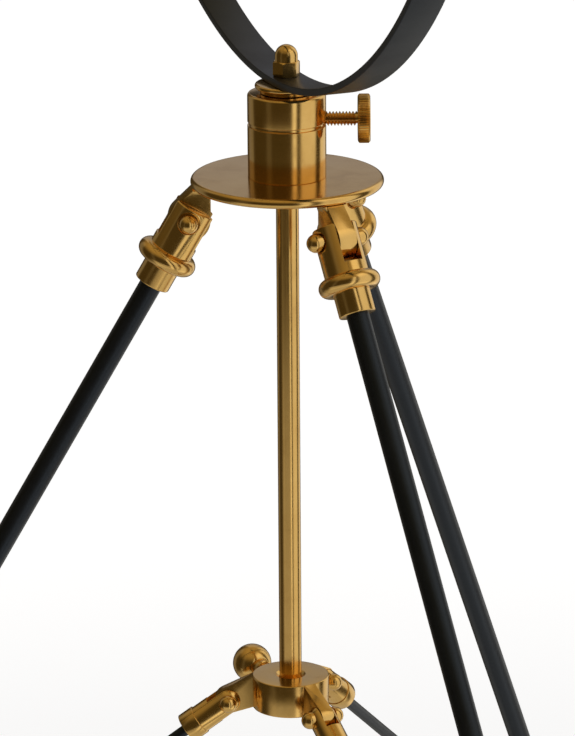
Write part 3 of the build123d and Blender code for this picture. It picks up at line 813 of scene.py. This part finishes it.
def make_leg_clevis(name):
    """Forked clevis at the top of a leg, with a bead round it, and the pin through it."""
    leg = leg_frame(name)
    pin = across(leg)
    barrel, top, fork, ferrule, end, lip = 9.3, -5.6, 11.0, 7.65, 32.0, 0.6
    bead, bead_middle, bead_round = 18.8, 9.15, 3.75
    upper = degrees(acos((barrel - bead_middle) / bead_round))
    lower = degrees(acos((ferrule - bead_middle) / bead_round))
    beyond = 4  # past the bead, where the straight parts' helper corners are
    outline = rounded([(0, top, 0), (barrel, top, lip), (barrel, bead - beyond, 0)], 3)[:-1]
    outline += arc(bead_middle, bead, bead_round, -upper, lower, 20)
    outline += rounded([(ferrule, bead + beyond, 0), (ferrule, end, lip), (0, end, 0)], 3)[1:]
    clevis = lathe("clevis", outline, leg, 96)
    shaft, head, seat, cheek, recess, outside = 2.5, 3.9, 7.5, 2.7, 4.75, 16
    slot, through, over = 4.2, 14, 2
    cutters = [prism("cutter", rectangle(slot, through), top - over, fork, leg)]
    cutters += [drill(pin, recess, seat, outside), drill(pin, recess, -outside, -seat)]
    carve(clevis, cutters, edge=0.3, segments=3)
    clevis.name = f"clevis_{name}"
    dress(clevis, f"leg_{name}", CAST, f"leg_clevis_{name}")
    piece = lathe(f"pin_{name}", domed_pin(shaft, head, seat, cheek), pin, 64)
    dress(piece, f"leg_{name}", CAST, f"leg_pin_{name}")


def make_leg(name):
    """A leg's rod, the collar that its brace is pinned to, its brass tip and its rubber foot."""
    leg = leg_frame(name)
    body = f"leg_{name}"
    start, end = 17.0, LEG_LENGTH - 9  # inside the clevis's ferrule, and inside the foot
    bar = lathe(f"rod_{name}", cylinder(LEG_ROD, start, end), leg, 64)
    dress(bar, body, BLACK, f"leg_rod_{name}")

    radius, half, boss = 7.0, 7.0, 5.0
    outline = cylinder(radius, COLLAR_PLACE - half, COLLAR_PLACE + half, 0.8, 0.8)
    collar = lathe("collar", outline, leg, 80)
    ear = drill(across(leg, (0, 0, COLLAR_PLACE)), boss, 0, BOSS_END)
    carve(collar, joined=[ear], edge=0.3, segments=3)
    collar.name = f"leg_collar_{name}"
    dress(collar, body, CAST, f"brace_collar_{name}")

    rubber_length, tip_length, gap = 22, 20.0, 0.2
    rubber_top = LEG_LENGTH - rubber_length
    radius, neck, taper = 6.4, LEG_ROD + 0.9, 4
    start, end = rubber_top - tip_length, rubber_top - gap
    corners = [
        (0, start, 0),
        (neck, start, 0.3),
        (radius, start + taper, 1.0),
        (radius, end, 0.4),
        (0, end, 0),
    ]
    dress(lathe(f"tip_{name}", rounded(corners, 4), leg, 64), body, TURNED, f"leg_tip_{name}")

    radius, notch, grooves, first, spacing = 8.2, 0.5, 3, 6, 3.5
    corners = [(0, rubber_top, 0), (radius, rubber_top, 1.9)]
    for k in range(grooves):
        groove = rubber_top + first + spacing * k
        corners += [(radius, groove, 0.3), (radius - notch, groove + notch, 0.2)]
        corners += [(radius - notch, groove + 2 * notch, 0.2), (radius, groove + 3 * notch, 0.3)]
    corners += [(radius, LEG_LENGTH + radius, 0), (0, LEG_LENGTH + radius, 0)]
    foot = lathe("foot", rounded(corners, 3), leg, 80)
    block = 60  # more than any part of the foot that is under the floor
    below = Matrix.Translation(foot_place(name))
    floor = prism("cutter", rectangle(block, block), -block, 0, below)
    carve(foot, [floor], edge=0.25)
    upright(foot)
    foot.name = f"foot_{name}"
    dress(foot, body, RUBBER, f"rubber_foot_{name}")


def make_brace(name):
    """One brace: forked clevis on the hub, pin, rod, and the eye pinned to the leg's collar."""
    brace = brace_frame(name)
    pin = across(brace)
    body = f"brace_{name}"
    barrel, fork, shoulder, ferrule, end = 6.0, 7.4, 15.0, 6.5, 22.0
    corners = [(barrel, shoulder, 0), (ferrule, shoulder, 0.3), (ferrule, end, 0.4), (0, end, 0)]
    outline = [(0, -barrel), *arc(0, 0, barrel, -80, 0, 14), *rounded(corners, 3)]
    clevis = lathe("clevis", outline, brace, 80)
    shaft, head, seat, cheek, recess, outside = 1.6, 3.7, 5.2, 0.8, 3.9, 10
    slot, through, over = 3.1, 9, 2
    cutters = [prism("cutter", rectangle(slot, through), -barrel - over, fork, brace)]
    cutters += [drill(pin, recess, seat, outside), drill(pin, recess, -outside, -seat)]
    carve(clevis, cutters, edge=0.25, segments=3)
    clevis.name = f"brace_fork_{name}"
    dress(clevis, body, CAST, f"brace_clevis_{name}")
    pivot_pin = lathe(f"brace_pivot_{name}", domed_pin(shaft, head, seat, cheek), pin, 56)
    dress(pivot_pin, body, CAST, f"brace_pin_{name}")

    offset, bar_radius, clear = 12.4, 2.4, 9  # clear: from each pin to the rod's end
    eye = brace @ Vector((offset * MM, 0, BRACE_LENGTH * MM))
    start = brace.translation
    rod = place(start, eye - start, brace.col[1].to_3d())
    length = (eye - start).length / MM
    bar = lathe(f"brace_bar_{name}", cylinder(bar_radius, clear, length - clear), rod, 48)
    dress(bar, body, BLACK, f"brace_rod_{name}")

    eye_frame = across(brace, (offset, 0, BRACE_LENGTH))
    half, radius, socket_radius, socket_length, sunk = 2.4, 5.5, 3.4, 18.0, 3
    disc = lathe("eye", cylinder(radius, -half, half, 0.4, 0.4, 3), eye_frame, 64)
    outline = cylinder(socket_radius, length - socket_length, length - sunk, 0.4, 0, 3)
    socket = lathe("socket", outline, rod, 48)
    carve(disc, joined=[socket], edge=0.2)
    disc.name = f"brace_end_{name}"
    dress(disc, body, CAST, f"brace_eye_{name}")

    inner, washer, shank, head, cap = BOSS_END + 0.3 - offset, 4, 2, 3.6, 2.2
    corners = [(0, inner, 0), (washer, inner, 0.2), (washer, -half, 0.1)]
    corners += [(shank, -half, 0), (shank, half, 0), (head, half, 0)]
    corners += [(head, half + cap, 1.7), (0, half + cap, 0)]
    screw = lathe(f"eye_screw_{name}", rounded(corners, 6), eye_frame, 56)
    dress(screw, body, TURNED, f"eye_pin_{name}")


def hub_tongue(name, bottom, height):
    """Flat tongue that stands out from the hub, with a rounded knuckle at the brace's pin."""
    pin = pivot(f"brace_{name}_fold")
    axis_point = Vector((AXIS_X, 0, pin.z))
    outward = (pin - axis_point).normalized()
    reach = (pin - axis_point).length / MM
    drop = (pin.z - bottom) / MM
    knuckle, half, root, shoulder, inset, foot = 5.6, 2.8, 12.0, 15.8, 0.1, 0.3
    rise = height - inset - drop
    touch = atan2(rise, shoulder - reach) - acos(knuckle / hypot(shoulder - reach, rise))
    outline = [(root, height - inset), (shoulder, height - inset)]
    outline += arc(reach, drop, knuckle, degrees(touch), -90, 24)
    outline += [(shoulder, foot), (root, foot)]
    side = place((AXIS_X, 0, bottom), outward.cross(UP), outward)
    return prism("tongue", outline, -half, half, side)


def make_hub():
    """Runner hub that slides on the rod: a round boss with three tongues, and its ball knob."""
    height, radius, bore, spare = 14.2, 16.3, 4.85, 1
    bottom = HUB_TOP - height * MM
    base = station(bottom)
    hub = lathe("hub_boss", cylinder(radius, 0, height, 0.6, 0.6), base, 128)
    sink_radius, sink_depth, mouth_radius, over = 4.8, 1.6, 7.0, 0.6
    mouth = [(0, height - sink_depth), (sink_radius, height - sink_depth)]
    mouth += [(mouth_radius, height + over), (0, height + over)]
    cutters = [drill(base, bore, -spare, height + spare), lathe("cutter", mouth, base, 64)]
    tongues = [hub_tongue(name, bottom, height) for name in LIMBS]
    carve(hub, cutters, joined=tongues, edge=0.5, segments=3)
    dress(hub, "hub", CAST, "hub")

    screw = joint("hub_knob_turn")
    knob = place((AXIS_X, 0, screw["pos_m"][2]), screw["axis"], UP)
    start, shank, neck_start, neck, neck_end = 5, 2.5, 22.4, 4, 25.9
    chamfer, ball, ball_middle = 0.4, 8.3, 33
    outline = [(0, start), (shank, start), (shank, neck_start), (neck - chamfer, neck_start)]
    outline += [(neck, neck_start + chamfer), (neck, neck_end)]
    outline += [*arc(0, ball_middle, ball, -58, 86, 30), (0, ball_middle + ball)]
    dress(lathe("ball_knob", outline, knob, 80), "hub_knob", CAST, "hub_knob")


# ---------------------------------------------------------------- studio
CAMERA_PITCH = radians(17.0)
CAMERA_ROLL = radians(0.40)
CAMERA_DISTANCE = 2.111  # along the line of sight, to the middle of the plate's top
CAMERA_LIFT = 0.03765  # how far the line of sight passes under the plate, for each unit of distance
CAMERA_PAN = 0.0004  # how far the camera stands to the left of the axis
SENSOR = 36.0
LENS = 250.2
# Radii of the sweep's floor and of the bend round it, then heights of its wall and of its top.
SWEEP_FLOOR, SWEEP_BEND, SWEEP_WALL, SWEEP_TOP = 14000, 8000, 16000, 30000
SWEEP_COLOURS = (0.22, 0.22, 0.24), (0.25, 0.25, 0.27)
# Glow of the sweep, and the grey of the painted shadow that it fades to under the stand.
SWEEP_GLOW, SWEEP_PAINTED_SHADOW = (0.975, 0.985, 1.0), (0.70, 0.71, 0.73)


def make_camera():
    """Long lens, higher than the rings, looking along +Y and down at the plate."""
    forward = Vector((0, cos(CAMERA_PITCH), -sin(CAMERA_PITCH)))
    above = Vector((0, sin(CAMERA_PITCH), cos(CAMERA_PITCH)))
    data = bpy.data.cameras.new("camera")
    data.lens = LENS
    data.sensor_width = SENSOR
    data.clip_end = 200  # past the sweep
    camera = bpy.data.objects.new("camera", data)
    bpy.context.scene.collection.objects.link(camera)
    aim = Vector((AXIS_X - CAMERA_PAN, 0, PLATE_TOP))
    spot = aim - (forward + above * CAMERA_LIFT) * CAMERA_DISTANCE
    roll = Matrix.Rotation(CAMERA_ROLL, 4, forward)
    turned = Matrix((Vector((1, 0, 0)), above, -forward)).transposed().to_4x4()
    camera.matrix_world = Matrix.Translation(spot) @ roll @ turned
    bpy.context.scene.camera = camera


def make_stage():
    """Pale floor that rises into a round wall, with a painted shadow under the stand. Only the
    camera sees it, so it lights nothing.
    """
    outline = [(0, 0), (4000, 0), (9000, 0)]
    outline += arc(SWEEP_FLOOR, SWEEP_BEND, SWEEP_BEND, 270, 360, 16)
    outline += [(SWEEP_FLOOR + SWEEP_BEND, SWEEP_WALL), (0, SWEEP_TOP)]
    sweep = lathe("sweep", outline, Matrix.Translation((AXIS_X, 0, 0)), 96)
    finish = Finish("pale_sweep")
    clouds = finish.noise((2.5, 2.5, 2.5), 3.0)
    painted_shadow = finish.nearness((0, 0, 0), 0.1, 1.25)  # painted shadow: greyer under the stand
    finish.set(
        Base_Color=finish.blend(clouds, *SWEEP_COLOURS),
        Emission_Color=finish.blend(painted_shadow, SWEEP_GLOW, SWEEP_PAINTED_SHADOW),
        Emission_Strength=0.95,
        Roughness=0.9,
        Specular_IOR_Level=0.1,
    )
    sweep.data.materials.append(finish.material)
    for ray in ("glossy", "diffuse", "transmission", "shadow"):
        setattr(sweep, f"visible_{ray}", False)


# Soft boxes as the brass sees them: azimuths from the camera's side towards +X, then elevations,
# both as (start, full, full, end) in degrees, then brightness and tint.
WARM_DARK = (0.060, 0.0455, 0.0205)  # the walls between the boxes
WHITE = (1.0, 0.98, 0.93)
COOL = (0.92, 0.96, 1.15)
SEAM = -160.0  # azimuths under this count on past 180, so that a box can lie behind
OVERHEAD = 6.1  # light that is added straight up, as a multiple of the walls'
UNDERLIGHT = 0.45  # brightness straight down
SOFT_BOXES = (
    ((12, 21, 26, 31), (-50, -30, 30, 50), 0.90, WHITE),
    ((36, 46, 88, 98), (-60, -40, 50, 75), 0.72, WHITE),
    ((110, 118, 146, 160), (-60, -40, 30, 60), 0.75, WHITE),
    ((-150, -138, -120, -108), (-40, -25, 35, 50), 0.16, WHITE),
    ((-64, -58, -50, -42), (-40, -25, 35, 50), 0.05, WHITE),
    ((150, 165, 195, 198), (4, 10, 40, 60), 0.30, COOL),
    ((-80, -62, 12, 36), (-55, -45, -24, -19.5), 0.34, WHITE),
)


class Sky(Nodes):
    """The world, as light that depends on direction only."""

    def __init__(self, name):
        world = bpy.data.worlds.new(name)
        world.use_nodes = True
        bpy.context.scene.world = world
        super().__init__(world.node_tree)
        self.tree.nodes.clear()

    def ease(self, value, start, end):
        """Smooth rise from 0 to 1."""
        node = self.add("ShaderNodeMapRange", interpolation_type="SMOOTHSTEP")
        self.feed(node.inputs["Value"], value)
        self.feed(node.inputs["From Min"], start)
        self.feed(node.inputs["From Max"], end)
        return node.outputs["Result"]

    def window(self, value, limits):
        """1 between the middle limits, easing to 0 at the outer ones."""
        start, full, still, end = limits
        fall = self.maths("SUBTRACT", 1.0, self.ease(value, still, end))
        return self.maths("MULTIPLY", self.ease(value, start, full), fall)

    def added(self, total, amount, tint):
        """Total and an amount of tinted light."""
        node = self.add("ShaderNodeVectorMath", operation="MULTIPLY_ADD")
        self.feed(node.inputs[0], amount)
        self.feed(node.inputs[1], tint)
        self.feed(node.inputs[2], total)
        return node.outputs[0]


def make_world():
    """Dark walls, a bright top and a bright floor, strong boxes to the right, weak ones left."""
    sky = Sky("studio")
    where = sky.add("ShaderNodeTexCoord")
    parts = sky.add("ShaderNodeSeparateXYZ")
    sky.feed(parts.inputs[0], where.outputs["Generated"])
    x, y, z = parts.outputs
    turned = sky.maths("ARCTAN2", x, sky.maths("MULTIPLY", y, -1.0))
    azimuth = sky.maths("MULTIPLY", turned, 180 / pi)
    wrap = sky.maths("MULTIPLY", sky.maths("LESS_THAN", azimuth, SEAM), 360.0)
    azimuth = sky.maths("ADD", azimuth, wrap)
    elevation = sky.maths("MULTIPLY", sky.maths("ARCSINE", z), 180 / pi)
    overhead = sky.maths("MULTIPLY", sky.ease(z, 0.3, 1.0), OVERHEAD)
    overhead = sky.maths("ADD", 1.0, overhead)
    total = sky.added((0, 0, 0), overhead, WARM_DARK)
    for around, height, strength, tint in SOFT_BOXES:
        lit = sky.maths("MULTIPLY", sky.window(azimuth, around), sky.window(elevation, height))
        total = sky.added(total, sky.maths("MULTIPLY", lit, strength), tint)
    below = sky.ease(z, -0.45, -0.9)
    total = sky.added(total, sky.maths("MULTIPLY", below, UNDERLIGHT), WHITE)
    background = sky.add("ShaderNodeBackground")
    output = sky.add("ShaderNodeOutputWorld")
    sky.feed(background.inputs["Color"], total)
    sky.feed(output.inputs["Surface"], background.outputs[0])


make_plate()
make_collar()
make_centre_rod()
make_thumbscrew()
make_ring_seat()
make_cap_nut()
make_rings()
make_axis()
make_arrow()
make_rivets()
for limb in LIMBS:
    make_lug(limb)
    make_leg_clevis(limb)
    make_leg(limb)
    make_brace(limb)
make_hub()
make_stage()
make_world()
make_camera()
bpy.context.scene.view_settings.view_transform = "Standard"
